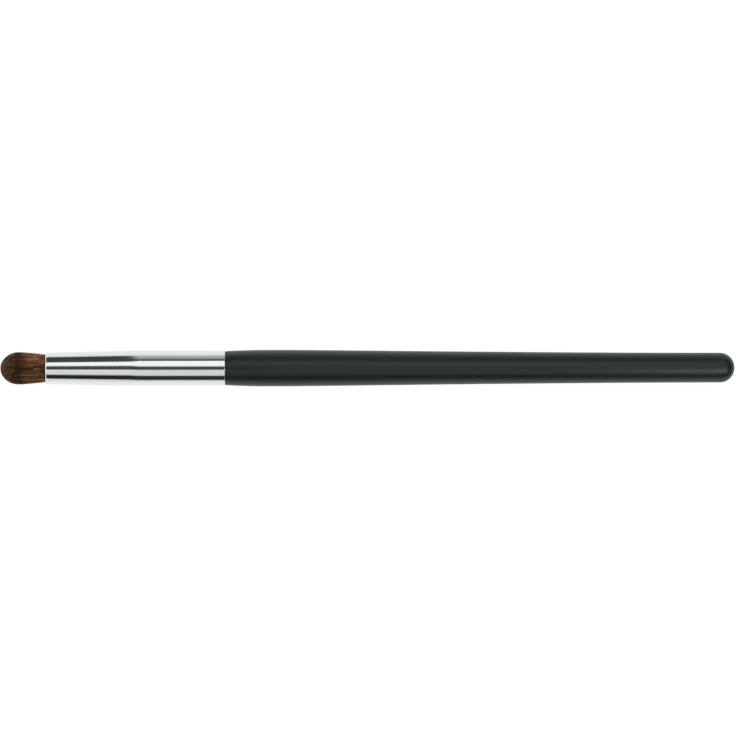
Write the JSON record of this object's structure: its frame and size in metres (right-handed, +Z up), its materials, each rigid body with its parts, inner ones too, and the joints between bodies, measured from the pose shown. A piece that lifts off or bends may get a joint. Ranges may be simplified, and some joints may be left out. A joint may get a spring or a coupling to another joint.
{
  "type": "banana makeup brush",
  "caption": "Round eye makeup brush: a domed hair tuft potted in a bright tapered ferrule, on a turned wooden handle with a matt black finish.",
  "frame": {"origin": "on the table, under the middle of the brush as it lies on its side", "axes": "X along the brush, from the hair at -X to the tail of the handle at +X; Z up from the table; Y completes the frame"},
  "size_m": [0.175, 0.0086, 0.0085],
  "materials": {
    "handle_finish": "turned hardwood with a matt black lacquer",
    "ferrule_plating": "drawn tube, plated bright",
    "hair": "soft brown hair with fine lighter streaks",
    "binding_thread": "undyed cotton thread",
    "potting_resin": "clear amber potting resin",
    "wood_glue": "dried pale glue"
  },
  "bodies": {
    "root": {"handle": "handle_finish", "ferrule": "ferrule_plating", "hair_tuft": "hair", "hair_binding": "binding_thread", "root_resin": "potting_resin", "tenon_glue": "wood_glue"}
  },
  "joints": []
}
